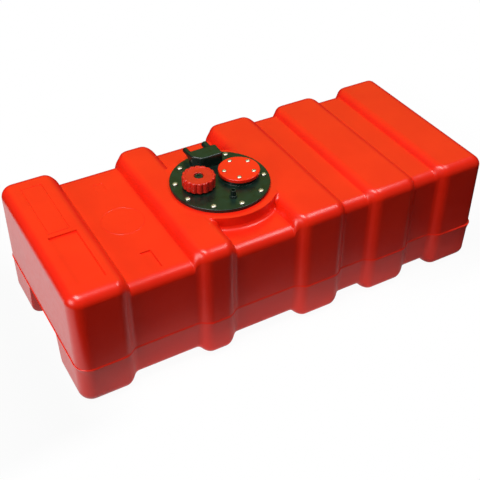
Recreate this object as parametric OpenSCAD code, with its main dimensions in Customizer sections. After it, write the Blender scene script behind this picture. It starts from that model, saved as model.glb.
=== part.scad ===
// Inboard fuel tank: a ribbed, hollow moulded shell with a bolted hatch plate on top.
// X runs along the tank, Y across it, Z up. The origin is under the middle, on the floor.

/* [Body] */
// width over the plain walls
body_w = 350; // [310:5:390]
// height of the ribs above the floor
body_h = 230; // [205:5:260]
// height of the parting line
part_z = 82; // [74:1:96]
// wall thickness of the moulding
wall = 4; // [3:0.5:5]
// outer radius of the upper edges
edge_r = 19; // [14:1:24]
// outer radius of the lower edges
foot_r = 21; // [15:1:26]
// outer radius of the upright corners at the left end
corner_left = 25; // [18:1:32]
// outer radius of the upright corners at the right end
corner_right = 16; // [13:1:24]
// inward lean of the upper walls, degrees
upper_draft = 0.9; // [0:0.1:2]
// inward lean of the lower walls, degrees
lower_draft = 0.6; // [0:0.1:2]
// how far the parting bead stands out
bead_out = 3; // [1.5:0.25:4.5]
// height over which that bead runs out into the lower walls
bead_h = 14; // [8:1:20]

/* [Ribs and bays] */
// length of each end block
end_block = 93.5; // [90:0.5:110]
// length of each of the two wide bays
wide_bay = 128.5; // [115:0.5:150]
// length of each of the two narrow bays
narrow_bay = 60; // [50:0.5:75]
// length of the rib left of the hatch
rib_left = 59.5; // [48:0.5:75]
// length of the rib right of the hatch
rib_mid = 86.5; // [75:0.5:105]
// length of the rib between the narrow bays
rib_right = 90; // [75:0.5:110]
// how far the wide bays sink on top
top_sink = 22; // [16:0.5:26]
// how far the narrow bays sink on top
narrow_sink = 11; // [8:0.5:16]
// how far the bays sink at the sides
side_sink = 11.5; // [7:0.5:16]
// how far the bays rise off the floor
foot_rise = 12; // [8:0.5:16]
// length of the slope between a rib and a wide bay
slope_run = 25; // [18:1:32]
// length of the slope between a rib and a narrow bay
narrow_run = 18; // [14:1:22]

/* [Hand holds] */
// half width of the hollow under each end
grip_half = 64; // [50:1:80]
// how far the hollow reaches in
grip_depth = 58; // [45:1:62]
// height of plain wall left between the hollow and the parting line
grip_under = 3.5; // [3:0.5:8]
// length of the rounded slope round the hollow
grip_run = 16; // [10:1:20]

/* [Hatch] */
// hatch centre from the middle of its bay, along X
hatch_dx = -5; // [-10:0.5:10]
// hatch centre from the middle of the tank, across
hatch_y = -10; // [-18:1:18]
// radius of the raised seat
seat_r = 102; // [99:0.5:110]
// how far the seat stands above the ribs
seat_lip = 0.6; // [0.4:0.1:1.5]
// radius of the fillet at the foot of the seat
seat_fillet = 7; // [4:0.5:9]
// radius of the opening in the tank
opening_r = 66; // [64:0.5:68]
// radius of the hatch plate
plate_r = 87.8; // [86:0.2:92]
// thickness of the hatch plate
plate_t = 4.5; // [3.5:0.5:7]
// thickness of the hatch gasket
gasket_t = 2; // [1.5:0.25:3]
// depth of the locating rim under the plate
rim_h = 6; // [4:0.5:9]
// number of hatch screws
screw_n = 10; // [10:2:14]
// radius of the screw circle
screw_ring = 78; // [77:0.5:79]
// shank radius of the hatch screws
screw_r = 2.5; // [2:0.25:3]
// head radius of the hatch screws
head_r = 4.8; // [4.2:0.2:5.4]
// length of the brass inserts
insert_h = 10; // [7:0.5:12]

/* [Filler] */
// cap centre from the hatch centre, along X
cap_dx = -40.5; // [-42:0.5:-39]
// cap centre from the hatch centre, across
cap_dy = 0.5; // [-2:0.5:2]
// radius over the lobes of the cap
cap_r = 29; // [28:0.5:31]
// number of lobes on the cap
lobe_n = 16; // [12:1:20]
// height of the filler neck above the plate
neck_h = 13; // [11:0.5:18]
// outer radius of the filler neck
neck_r = 21.5; // [20:0.5:22]
// bore radius of the filler neck
neck_bore = 18; // [15:0.5:18]
// height of the cap skirt from its lower rim to the roof
skirt_h = 12; // [10:0.5:13]
// thickness of the cap roof
roof_t = 7.4; // [6:0.2:9]
// thickness of the cap gasket
cap_seal_t = 2; // [1.5:0.25:3]
// radius of the pocket for the vent screw
pocket_r = 8.5; // [7:0.5:11]
// depth of that pocket
pocket_d = 5; // [3.5:0.25:5.25]
// head radius of the vent screw
vent_head_r = 5; // [4:0.25:6]
// stem radius of the vent screw
vent_r = 2.5; // [2:0.1:3]

/* [Sender port] */
// port centre from the hatch centre, along X
port_dx = 36.4; // [35.5:0.1:37.5]
// port centre from the hatch centre, across
port_dy = -3; // [-5:0.5:0]
// radius of the red cover
cover_r = 36.7; // [35.5:0.1:38]
// thickness of the red cover
cover_t = 3; // [2:0.25:4]
// thickness of the cover gasket
cover_seal_t = 2; // [1:0.25:3]
// height of the boss above the plate
boss_h = 8; // [6:0.5:12]
// radius of the boss at its top
boss_r = 34; // [33:0.25:35]
// bore radius of the port
port_bore = 20; // [17:0.5:21]
// radius of the circle of the five screws
port_ring = 27; // [26.5:0.1:27.5]
// shank radius of the cover screws
port_screw_r = 2; // [1.6:0.2:2.4]

/* [Fuel connector] */
// front face of the block from the hatch centre
block_front = 41.2; // [40:0.2:42]
// length of the block from front to back
block_d = 21; // [19:0.5:24]
// half width of the front face
block_half_front = 19.4; // [18:0.2:21]
// half width at the shoulders
block_half = 30; // [28:0.5:32]
// height of the block above the plate
block_h = 22.8; // [20:0.2:26]
// rounding of the block
block_round = 3; // [2:0.5:4]
// distance of each hose tail from the middle
tail_x = 21; // [19.5:0.25:22]
// outer radius of the hose tails
tail_r = 4.8; // [4:0.2:5.4]
// bore radius of the hose tails
tail_bore = 3; // [2:0.25:3.25]
// length of the hose tails behind the block
tail_l = 30; // [24:1:38]
// distance of each stem from the middle
stem_x = 18; // [17.5:0.25:18.5]
// distance of the stems behind the front face
stem_dy = 6.3; // [6:0.1:7]
// outer radius of the stems
stem_r = 5.5; // [5.25:0.05:5.75]
// width across the flats of the nuts
nut_af = 15; // [14:0.5:15.5]
// height of the nuts
nut_h = 6; // [4:0.5:8]
// outer radius of the pick-up and return tubes
tube_r = 4; // [3.8:0.05:4.2]
// length of the return tube below the plate
return_l = 110; // [60:5:150]
// room left under the strainer
strainer_up = 6; // [3:0.5:12]
// height of the strainer
strainer_h = 34; // [24:1:45]
// outer radius of the strainer
strainer_r = 9; // [8:0.5:12]

/* [Breather] */
// breather centre from the hatch centre, along X
breather_dx = -4; // [-8:0.5:4]
// breather centre from the hatch centre, across
breather_dy = -55; // [-56:0.5:-50]
// outer radius of the breather nipple
breather_r = 4.8; // [4:0.2:5.2]
// height of the nipple above its flange
breather_h = 11; // [8:0.5:18]
// radius of its flange
breather_flange = 7; // [6.5:0.25:8]

/* [Clearances] */
// free gap between pieces that move against each other
move_gap = 0.3; // [0.3:0.05:0.5]
// running clearance of the vent stem in the cap
run_gap = 0.05; // [0.02:0.01:0.08]
// clearance of screws and stems in their holes
hole_gap = 0.25; // [0.15:0.05:0.4]
// clearance of the locating rim in the opening
rim_gap = 1.5; // [1:0.25:2.5]

/* [Hidden] */
$fn = 48;
body_l = 2 * end_block + 2 * wide_bay + 2 * narrow_bay + rib_left + rib_mid + rib_right;
bay1_a = -body_l / 2 + end_block;
bay1_b = bay1_a + wide_bay;
bay2_a = bay1_b + rib_left;
bay2_b = bay2_a + wide_bay;
bay3_a = bay2_b + rib_mid;
bay3_b = bay3_a + narrow_bay;
bay4_a = bay3_b + rib_right;
bay4_b = bay4_a + narrow_bay;
bays = [[bay1_a, bay1_b, slope_run, top_sink], [bay2_a, bay2_b, slope_run, top_sink],
        [bay3_a, bay3_b, narrow_run, narrow_sink], [bay4_a, bay4_b, narrow_run, narrow_sink]];
hatch_x = (bay2_a + bay2_b) / 2 + hatch_dx;
seat_z = body_h + seat_lip;
plate_z = seat_z + gasket_t;
top_z = plate_z + plate_t;
neck_z = top_z + neck_h;
roof_z = neck_z + 2 * move_gap + cap_seal_t;
cap_z = roof_z + roof_t;
pocket_z = cap_z - pocket_d;
boss_z = top_z + boss_h;
cover_z = boss_z + cover_seal_t;
pad_t = 1;
bead_lip = 1.5;
block_z = top_z + pad_t;
block_top = top_z + block_h;
stem_y = block_front + stem_dy;
tail_z = block_top - tail_r - block_round;
tail_end = block_front + block_d + tail_l;
stem_foot = plate_z - nut_h - 6;
tube_top = stem_foot + 9;
floor_z = foot_rise + wall;
strainer_z = floor_z + strainer_up;
breather_top = top_z + pad_t + 2.5 + breather_h;

// a smooth rise from 0 to 1
function ease(t) = let(c = max(0, min(1, t))) c * c * (3 - 2 * c);

// distance that a rounded edge of radius r falls back at d from the end
function fall(d, r) = d < r ? r - sqrt(max(0, r * r - (r - d) * (r - d))) : 0;

// for each bay 0 outside it and 1 on its floor; o is the depth below the outer skin
function dips(x, o) =
    [for (b = bays) ease((x - b[0] + 0.6 * o) / b[2] + 0.5)
                  * (1 - ease((x - b[1] - 0.6 * o) / b[2] + 0.5))];

// where the cross sections stand along X, from one end to the other
function stations(o, n) =
    let(e = body_l / 2 - o,
        tip = [for (i = [0 : n]) 1 - cos(90 * i / n)],
        grip = [for (i = [0 : 4]) grip_depth + grip_run * (i / 4 - 0.5)])
    concat([for (t = tip) t * (corner_left - o) - e],
           [for (g = grip) g - e],
           [for (b = bays, s = [0, 1], i = [0 : n])
               b[s] + (s == 0 ? -0.6 : 0.6) * o + b[2] * (i / n - 0.5)],
           [for (i = [4 : -1 : 0]) e - grip[i]],
           [for (i = [n : -1 : 0]) e - tip[i] * (max(corner_right, edge_r) - o)]);

// one corner of a cross section, from angle a on, centre (y, z), radius r
function corner(x, y, z, r, a, n) =
    [for (i = [0 : n]) [x, y + r * cos(a + 90 * i / n), z + r * sin(a + 90 * i / n)]];

// the cross section at x
function ring(x, o, n) =
    let(d = body_l / 2 - o - abs(x),
        dip = dips(x, o),
        h = dip * [1, 1, 1, 1],
        rc = (x < 0 ? corner_left : corner_right) - o,
        turn = d < rc ? asin(1 - d / rc) : 0,
        it = fall(d, edge_r - o),
        ib = fall(d, foot_r - o),
        w = body_w / 2 - o - side_sink * h - fall(d, rc),
        zt = body_h - o - dip * [for (b = bays) b[3]] - it,
        zb = o + foot_rise * h + ib,
        rt = max(edge_r - o - it, 0.5),
        rb = max(foot_r - o - ib, 0.5),
        wt = w - tan(upper_draft) * (zt - part_z),
        wb = w - tan(lower_draft) * (part_z - zb),
        up = (part_z - grip_under + o - zb) * (1 - ease((d - grip_depth) / grip_run + 0.5)),
        bead = o > 0 ? 0 : bead_out,
        bx = x + sign(x) * bead * sin(turn),
        by = w + bead * cos(turn),
        bz = part_z - bead_lip,
        low = part_z - bead_h + (bead_h - 0.8 * grip_under) * sin(turn),
        half = grip_half + o)
    concat(corner(x, wt - rt, zt - rt, rt, 0, n),
           corner(x, rt - wt, zt - rt, rt, 90, n),
           [[x, -w, part_z], [bx, -by, bz], [x, -w, low]],
           corner(x, rb - wb, zb + rb, rb, 180, n),
           [for (t = [1, 0.7, 0.3, 0]) [x, -half - t * grip_run, zb + up * (1 - ease(t))]],
           [for (t = [0, 0.3, 0.7, 1]) [x, half + t * grip_run, zb + up * (1 - ease(t))]],
           corner(x, wb - rb, zb + rb, rb, 270, n),
           [[x, w, low], [bx, by, bz], [x, w, part_z]]);

// triangles over one end: fans to the feet, then fans about its middle (index m); outside, the bead crosses it
function end_face(n, m, o) =
    let(foot_a = 2 * n + 4,
        foot_b = 4 * n + 15,
        hold = 3 * n + 9,
        upper = concat([m - 1], [for (j = [0 : foot_a - 2]) j]),
        rim = o > 0 ? concat([foot_b, foot_b + 1], upper, [foot_a - 1, foot_a, hold, hold + 1]) : upper,
        r = len(rim),
        across = [foot_a - 2, foot_a - 1, foot_a, hold],
        back = [m - 1, foot_b + 1, foot_b, hold + 1])
    concat([for (j = [0 : r - 1]) [m, rim[j], rim[(j + 1) % r]]],
           [for (j = [foot_a + 1 : hold - 1]) [foot_a, j, j + 1]],
           [for (j = [hold + 1 : foot_b - 2]) [foot_b, j, j + 1]],
           [for (i = [0 : 2])
               if (o == 0)
                   each [[across[i], across[i + 1], back[i + 1]], [across[i], back[i + 1], back[i]]]]);

// the closed skin through all cross sections, o below the outer one, n steps to a corner
module skin(o, n) {
    xs = stations(o, n);
    rings = [for (x = xs) ring(x, o, n)];
    m = len(rings[0]);
    k = len(xs);
    points = [for (r = rings, p = r) p];
    sides = [for (i = [0 : k - 2], j = [0 : m - 1])
             let(a = i * m + j, b = i * m + (j + 1) % m)
             each [[a, a + m, b], [b, a + m, b + m]]];
    last = (k - 1) * m;
    face = end_face(n, m, o);
    ends = concat([for (t = face) [for (v = t) v < m ? v : k * m]],
                  [for (t = face) [for (i = [2, 1, 0]) t[i] < m ? last + t[i] : k * m + 1]]);
    middles = [for (x = [xs[0], xs[k - 1]]) [x, 0, (part_z + body_h) / 2]];
    polyhedron(concat(points, middles), concat(sides, ends), convexity = 8);
}

module at_hatch() {
    translate([hatch_x, hatch_y, 0])
        children();
}

module at_screws() {
    for (i = [0 : screw_n - 1])
        rotate(90 + 360 / screw_n * i)
            translate([screw_ring, 0, 0])
                children();
}

module at_cap() {
    at_hatch()
        translate([cap_dx, cap_dy, 0])
            children();
}

module at_port() {
    at_hatch()
        translate([port_dx, port_dy, 0])
            children();
}

module at_port_screws() {
    for (i = [0 : 4])
        rotate(-118 + 72 * i)
            translate([port_ring, 0, 0])
                children();
}

module at_breather() {
    at_hatch()
        translate([breather_dx, breather_dy, 0])
            children();
}

// the two stems of the connector, right one for supply, left one for return
module at_stem(side) {
    at_hatch()
        translate([side * stem_x, stem_y, 0])
            children();
}

// a plain ring from z up
module tube(z, h, r, bore) {
    translate([0, 0, z])
        difference() {
            cylinder(r = r, h = h);
            translate([0, 0, -1])
                cylinder(r = bore, h = h + 2);
        }
}

// a screw with its head on z, a domed head and a round drive pocket
module pan_screw(z, l, r, hr) {
    hh = 0.62 * hr;
    translate([0, 0, z - l])
        cylinder(r = r, h = l + 0.2);
    translate([0, 0, z])
        difference() {
            rotate_extrude()
                polygon([[0, 0], [hr, 0], [hr, 0.3 * hh], [0.93 * hr, 0.55 * hh],
                         [0.75 * hr, 0.82 * hh], [0.5 * hr, hh], [0, hh]]);
            translate([0, 0, 0.45 * hh])
                cylinder(r = 0.36 * hr, h = hh, $fn = 6);
        }
}

module seat_solid() {
    bay_z = body_h - top_sink;
    rotate_extrude($fn = 96)
        polygon(concat([[0, bay_z - 3], [seat_r + seat_fillet, bay_z - 3],
                        [seat_r + seat_fillet, bay_z + 0.3]],
                       [for (i = [1 : 4]) let(a = 22.5 * i)
                           [seat_r + seat_fillet * (1 - sin(a)),
                            bay_z + 0.3 + seat_fillet * (1 - cos(a))]],
                       [for (i = [0 : 3]) let(a = 30 * i)
                           [seat_r - 4 + 4 * cos(a), seat_z - 4 + 4 * sin(a)]],
                       [[0, seat_z]]));
}

module tank_shell() {
    color([0.93, 0.24, 0.11])
        difference() {
            union() {
                skin(0, 6);
                at_hatch()
                    seat_solid();
            }
            difference() {
                union() {
                    skin(wall, 3);
                    at_hatch()
                        translate([0, 0, body_h - top_sink - 4 * wall])
                            cylinder(r = seat_r - 1.5 * wall, h = top_sink + 2.5 * wall + seat_lip);
                }
                at_hatch()
                    at_screws()
                        translate([0, 0, seat_z - insert_h - wall])
                            cylinder(r = screw_r + 4.2, h = insert_h + 2 * wall);
            }
            at_hatch()
                translate([0, 0, body_h - top_sink - 5 * wall])
                    cylinder(r = opening_r, h = top_sink + 6 * wall, $fn = 96);
            at_hatch()
                at_screws()
                    translate([0, 0, seat_z - insert_h])
                        cylinder(r = screw_r + 1.2, h = insert_h + 1);
        }
}

module threaded_inserts() {
    color([0.78, 0.6, 0.28])
        at_hatch()
            at_screws()
                tube(seat_z - insert_h, insert_h - 0.2, screw_r + 1.2, screw_r + 0.1);
}

module hatch_gasket() {
    color([0.1, 0.1, 0.1])
        at_hatch()
            difference() {
                tube(seat_z, gasket_t, plate_r - 0.8, opening_r);
                at_screws()
                    translate([0, 0, seat_z - 1])
                        cylinder(r = screw_r + hole_gap, h = gasket_t + 2);
            }
}

module hatch_plate() {
    color([0.1, 0.13, 0.12])
        difference() {
            union() {
                at_hatch() {
                    rotate_extrude($fn = 96)
                        polygon([[0, plate_z], [plate_r, plate_z], [plate_r, top_z - 1],
                                 [plate_r - 1, top_z], [0, top_z]]);
                    tube(plate_z - rim_h, rim_h + 1, opening_r - rim_gap, opening_r - rim_gap - 3.5);
                }
                at_cap()
                    translate([0, 0, plate_z])
                        cylinder(r = neck_r, h = neck_z - plate_z);
                at_port()
                    translate([0, 0, plate_z])
                        rotate_extrude()
                            polygon([[0, 0], [boss_r + 4, 0], [boss_r + 4, plate_t + 0.5],
                                     [boss_r + 1, plate_t + 2.5], [boss_r, boss_h + plate_t],
                                     [0, boss_h + plate_t]]);
                at_breather()
                    translate([0, 0, plate_z - rim_h])
                        cylinder(r = breather_r + 3, h = rim_h + 1);
            }
            at_cap()
                translate([0, 0, plate_z - rim_h - 1])
                    cylinder(r = neck_bore, h = rim_h + plate_t + neck_h + 3);
            at_port() {
                translate([0, 0, plate_z - rim_h - 1])
                    cylinder(r = port_bore, h = rim_h + plate_t + boss_h + 3);
                at_port_screws()
                    translate([0, 0, boss_z - 7])
                        cylinder(r = port_screw_r + 0.1, h = 9);
            }
            for (s = [-1, 1])
                at_stem(s)
                    translate([0, 0, plate_z - 1])
                        cylinder(r = stem_r + hole_gap, h = plate_t + 2);
            at_breather()
                translate([0, 0, plate_z - rim_h - 1])
                    cylinder(r = breather_r + 0.1, h = rim_h + plate_t + 2);
            at_hatch()
                at_screws()
                    translate([0, 0, plate_z - 1])
                        cylinder(r = screw_r + hole_gap, h = plate_t + 2);
        }
}

module hatch_screws() {
    color([0.8, 0.8, 0.78])
        at_hatch()
            at_screws()
                pan_screw(top_z, plate_t + gasket_t + insert_h - 1.5, screw_r, head_r);
}

module filler_cap() {
    color([0.88, 0.17, 0.1])
        at_cap()
            difference() {
                rotate_extrude($fn = 72)
                    polygon([[0, roof_z - skirt_h], [cap_r - 0.6, roof_z - skirt_h],
                             [cap_r, roof_z - skirt_h + 0.8], [cap_r, cap_z - 1.6],
                             [cap_r - 1.4, cap_z], [cap_r - 5, cap_z], [cap_r - 5.8, cap_z - 0.6],
                             [0, cap_z - 0.6]]);
                for (i = [0 : lobe_n - 1])
                    rotate(360 / lobe_n * i)
                        translate([cap_r + 1, 0, roof_z - skirt_h - 1])
                            cylinder(r = 2.6, h = skirt_h + roof_t + 2, $fn = 24);
                translate([0, 0, roof_z - skirt_h - 1])
                    cylinder(r = neck_r + 1.1, h = skirt_h + 1);
                translate([0, 0, pocket_z])
                    cylinder(r = pocket_r, h = pocket_d + 1);
                translate([0, 0, roof_z - 1])
                    cylinder(r = vent_r + run_gap, h = roof_t + 2);
            }
}

module cap_gasket() {
    color([0.08, 0.08, 0.08])
        at_cap()
            tube(neck_z + move_gap, cap_seal_t, neck_r + 0.7, neck_bore - 2.5);
}

module vent_screw() {
    head_z = pocket_z + 0.8 + move_gap;
    color([0.06, 0.06, 0.07])
        at_cap() {
            translate([0, 0, roof_z - 2])
                cylinder(r = vent_r, h = head_z - roof_z + 2.2);
            translate([0, 0, head_z])
                difference() {
                    cylinder(r1 = vent_head_r, r2 = vent_head_r - 0.4, h = pocket_d - 2);
                    translate([0, 0, pocket_d - 3.4])
                        cylinder(r = 0.5 * vent_head_r, h = 3, $fn = 6);
                }
        }
}

module vent_seal() {
    color([0.1, 0.1, 0.1])
        at_cap()
            tube(pocket_z, 0.8, vent_head_r + 0.4, vent_r + move_gap + 0.05);
}

module sender_gasket() {
    color([0.12, 0.1, 0.09])
        at_port()
            difference() {
                tube(boss_z, cover_seal_t, cover_r - 0.9, port_bore + 1);
                at_port_screws()
                    translate([0, 0, boss_z - 1])
                        cylinder(r = port_screw_r + hole_gap, h = cover_seal_t + 2);
            }
}

module sender_cover() {
    color([0.9, 0.2, 0.1])
        at_port()
            difference() {
                rotate_extrude($fn = 72)
                    polygon([[0, cover_z], [cover_r, cover_z], [cover_r, cover_z + cover_t - 0.8],
                             [cover_r - 0.8, cover_z + cover_t], [0, cover_z + cover_t]]);
                at_port_screws()
                    translate([0, 0, cover_z - 1])
                        cylinder(r = port_screw_r + hole_gap, h = cover_t + 2);
            }
}

module cover_screws() {
    color([0.8, 0.8, 0.78])
        at_port()
            at_port_screws()
                pan_screw(cover_z + cover_t, cover_t + cover_seal_t + 6, port_screw_r, 2 * port_screw_r);
}

// the outline of the connector block, drawn in by e
function block_plan(e) = [
    [-block_half_front + 0.4 * e, block_front + e], [block_half_front - 0.4 * e, block_front + e],
    [block_half - e, block_front + 0.56 * block_d], [block_half - e, block_front + block_d - e],
    [e - block_half, block_front + block_d - e], [e - block_half, block_front + 0.56 * block_d]];

module fuel_connector() {
    color([0.09, 0.12, 0.11])
        difference() {
            union() {
                at_hatch()
                    hull()
                        for (p = block_plan(block_round))
                            translate([p[0], p[1], block_z]) {
                                cylinder(r = block_round, h = 1, $fn = 16);
                                translate([0, 0, block_top - block_z - block_round])
                                    sphere(r = block_round, $fn = 12);
                            }
                for (s = [-1, 1]) {
                    at_hatch()
                        translate([s * tail_x, tail_end, tail_z])
                            rotate([90, 0, 0]) {
                                cylinder(r1 = tail_r - 0.6, r2 = tail_r, h = 1.5);
                                translate([0, 0, 1.5])
                                    cylinder(r = tail_r, h = tail_l);
                                translate([0, 0, tail_l - 8])
                                    cylinder(r1 = tail_r, r2 = tail_r + 3, h = 10);
                            }
                    at_stem(s)
                        translate([0, 0, stem_foot])
                            cylinder(r = stem_r, h = block_z - stem_foot + 4);
                }
            }
            for (s = [-1, 1]) {
                at_hatch()
                    translate([s * tail_x, tail_end + 1, tail_z])
                        rotate([90, 0, 0])
                            cylinder(r = tail_bore, h = tail_end + 1 - stem_y);
                at_stem(s) {
                    translate([0, 0, stem_foot - 1])
                        cylinder(r = tail_bore, h = tail_z - stem_foot + 2);
                    translate([0, 0, stem_foot - 1])
                        cylinder(r = tube_r + 0.02, h = tube_top - stem_foot + 1);
                }
            }
        }
}

module connector_gasket() {
    color([0.07, 0.07, 0.07])
        difference() {
            at_hatch()
                translate([0, 0, top_z])
                    linear_extrude(pad_t)
                        polygon(block_plan(0.8));
            for (s = [-1, 1])
                at_stem(s)
                    translate([0, 0, top_z - 1])
                        cylinder(r = stem_r + hole_gap, h = pad_t + 2);
        }
}

module connector_nuts() {
    color([0.75, 0.58, 0.27])
        for (s = [-1, 1])
            at_stem(s)
                difference() {
                    translate([0, 0, plate_z - nut_h])
                        cylinder(d = nut_af / cos(30), h = nut_h, $fn = 6);
                    translate([0, 0, plate_z - nut_h - 1])
                        cylinder(r = stem_r + 0.1, h = nut_h + 2);
                }
}

module pickup_tube() {
    color([0.75, 0.75, 0.74])
        at_stem(1)
            tube(strainer_z + strainer_h - 12, tube_top - strainer_z - strainer_h + 12,
                 tube_r, tube_r - 1);
}

module pickup_strainer() {
    color([0.72, 0.58, 0.3])
        at_stem(1)
            translate([0, 0, strainer_z])
                difference() {
                    cylinder(r = strainer_r, h = strainer_h);
                    translate([0, 0, 1.5])
                        cylinder(r = strainer_r - 1.5, h = strainer_h - 9.5);
                    translate([0, 0, strainer_h - 12])
                        cylinder(r = tube_r + 0.02, h = 13);
                    for (i = [0 : 5])
                        rotate(30 * i)
                            translate([-strainer_r - 1, -0.9, 4])
                                cube([2 * strainer_r + 2, 1.8, strainer_h - 16]);
                }
}

module return_tube() {
    color([0.75, 0.75, 0.74])
        at_stem(-1)
            tube(plate_z - return_l, tube_top - plate_z + return_l, tube_r, tube_r - 1);
}

module breather_nipple() {
    color([0.09, 0.12, 0.11])
        at_breather()
            difference() {
                union() {
                    translate([0, 0, plate_z - rim_h])
                        cylinder(r = breather_r, h = breather_top - plate_z + rim_h - 1);
                    translate([0, 0, breather_top - 1])
                        cylinder(r1 = breather_r, r2 = breather_r - 0.6, h = 1);
                    translate([0, 0, top_z + pad_t])
                        cylinder(r = breather_flange, h = 2.5, $fn = 6);
                }
                translate([0, 0, plate_z - rim_h - 1])
                    cylinder(r = breather_r - 1.6, h = breather_top - plate_z + rim_h + 2);
            }
}

module breather_seal() {
    color([0.1, 0.1, 0.1])
        at_breather()
            tube(top_z, pad_t, breather_flange - 0.6, breather_r + 0.1);
}

tank_shell();
threaded_inserts();
hatch_gasket();
hatch_plate();
hatch_screws();
filler_cap();
cap_gasket();
vent_screw();
vent_seal();
sender_gasket();
sender_cover();
cover_screws();
fuel_connector();
connector_gasket();
connector_nuts();
pickup_tube();
pickup_strainer();
return_tube();
breather_nipple();
breather_seal();
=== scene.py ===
from math import asin, atan2, ceil, cos, hypot, pi, radians, sin, sqrt, tan
import bmesh
import bpy
from mathutils import Matrix, Vector


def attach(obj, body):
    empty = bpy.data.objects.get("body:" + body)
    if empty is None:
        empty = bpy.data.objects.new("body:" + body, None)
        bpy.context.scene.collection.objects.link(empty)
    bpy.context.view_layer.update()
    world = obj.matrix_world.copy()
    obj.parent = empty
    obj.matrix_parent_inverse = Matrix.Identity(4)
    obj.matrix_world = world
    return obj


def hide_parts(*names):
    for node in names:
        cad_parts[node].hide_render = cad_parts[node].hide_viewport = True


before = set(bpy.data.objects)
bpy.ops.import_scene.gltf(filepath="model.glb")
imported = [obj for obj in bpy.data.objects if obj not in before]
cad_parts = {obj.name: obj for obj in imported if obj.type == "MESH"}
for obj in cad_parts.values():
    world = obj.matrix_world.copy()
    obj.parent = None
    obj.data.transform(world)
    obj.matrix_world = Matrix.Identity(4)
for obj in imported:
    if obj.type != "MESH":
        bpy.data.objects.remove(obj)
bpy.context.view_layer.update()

mm = 0.001  # every length below is in millimetres until it goes into a mesh
perMetre = 1000  # a pattern's scale is this over its size
print("frame loaded:", len(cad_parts), "nodes")

# the camera stands where the photograph was taken from
view = {"azimuth": -29.79, "elevation": 39.16, "roll": 0.53, "target": (-15.04, 5.61, 82.87), "distance": 1624.9,
        "lens": 64.92, "sensor": 36, "shiftX": 0.0064, "shiftY": -0.0091}
az, el, roll = radians(view["azimuth"]), radians(view["elevation"]), radians(view["roll"])
back = Vector((sin(az) * cos(el), -cos(az) * cos(el), sin(el)))
right = (-back).cross(Vector((0, 0, 1))).normalized()
up = right.cross(-back)
right, up = cos(roll) * right + sin(roll) * up, cos(roll) * up - sin(roll) * right
place = (Vector(view["target"]) + back * view["distance"]) * mm
lensData = bpy.data.cameras.new("photoCamera")
lensData.lens, lensData.sensor_width = view["lens"], view["sensor"]
lensData.shift_x, lensData.shift_y = view["shiftX"], view["shiftY"]
camera = bpy.data.objects.new("photoCamera", lensData)
camera.matrix_world = Matrix(((right.x, up.x, back.x, place.x), (right.y, up.y, back.y, place.y),
                              (right.z, up.z, back.z, place.z), (0, 0, 0, 1)))
bpy.context.scene.collection.objects.link(camera)
bpy.context.scene.camera = camera
bpy.context.scene.view_settings.view_transform = "Standard"
print("camera set")


def hexColour(code):
    parts = [int(code[i:i + 2], 16) / 255 for i in (1, 3, 5)]
    return [c / 12.92 if c <= 0.04045 else ((c + 0.055) / 1.055) ** 2.4 for c in parts] + [1.0]


def addNode(tree, kind, values=None, links=None, **settings):
    node = tree.nodes.new(kind)
    for name, value in settings.items():
        setattr(node, name, value)
    for socket, value in (values or {}).items():
        node.inputs[socket].default_value = value
    for socket, source in (links or {}).items():
        tree.links.new(source, node.inputs[socket])
    return node


def startMaterial(name, shaderValues):
    material = bpy.data.materials.new(name)
    material.use_nodes = True
    tree = material.node_tree
    shader = tree.nodes["Principled BSDF"]
    for socket, value in shaderValues.items():
        shader.inputs[socket].default_value = value
    place = addNode(tree, "ShaderNodeTexCoord").outputs["Object"]
    return material, tree, shader, place


# moulded polyethylene: a clear, slightly wavy gloss over a deep even red, with a faint skin like orange peel
tankFinish = {"red": "#F0260A", "deepRed": "#EA2008", "cloudSize": 70, "scuffSize": 9, "waveSize": 38, "waveDepth": 0.8,
              "peelSize": 2.4, "peelDepth": 0.3, "glossLow": 0.28, "glossHigh": 0.33}
tankRed, tree, shader, place = startMaterial("mouldedPolyethylene", {"IOR": 1.54})
cloud = addNode(tree, "ShaderNodeTexNoise", {"Scale": perMetre / tankFinish["cloudSize"], "Detail": 3.0}, {"Vector": place})
tone = addNode(tree, "ShaderNodeValToRGB", None, {"Fac": cloud.outputs["Fac"]})
tone.color_ramp.elements[0].position, tone.color_ramp.elements[0].color = 0.35, hexColour(tankFinish["deepRed"])
tone.color_ramp.elements[1].position, tone.color_ramp.elements[1].color = 0.7, hexColour(tankFinish["red"])
tree.links.new(tone.outputs["Color"], shader.inputs["Base Color"])
scuff = addNode(tree, "ShaderNodeTexNoise", {"Scale": perMetre / tankFinish["scuffSize"], "Detail": 4.0}, {"Vector": place})
gloss = addNode(tree, "ShaderNodeMapRange", {"From Min": 0.3, "From Max": 0.7, "To Min": tankFinish["glossLow"],
                                             "To Max": tankFinish["glossHigh"]}, {"Value": scuff.outputs["Fac"]})
tree.links.new(gloss.outputs["Result"], shader.inputs["Roughness"])
wave = addNode(tree, "ShaderNodeTexNoise", {"Scale": perMetre / tankFinish["waveSize"], "Detail": 1.0}, {"Vector": place})
waveBump = addNode(tree, "ShaderNodeBump", {"Strength": 0.12, "Distance": tankFinish["waveDepth"] * mm},
                   {"Height": wave.outputs["Fac"]})
peel = addNode(tree, "ShaderNodeTexNoise", {"Scale": perMetre / tankFinish["peelSize"], "Detail": 2.0}, {"Vector": place})
peelBump = addNode(tree, "ShaderNodeBump", {"Strength": 0.025, "Distance": tankFinish["peelDepth"] * mm},
                   {"Height": peel.outputs["Fac"], "Normal": waveBump.outputs["Normal"]})
tree.links.new(peelBump.outputs["Normal"], shader.inputs["Normal"])

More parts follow.
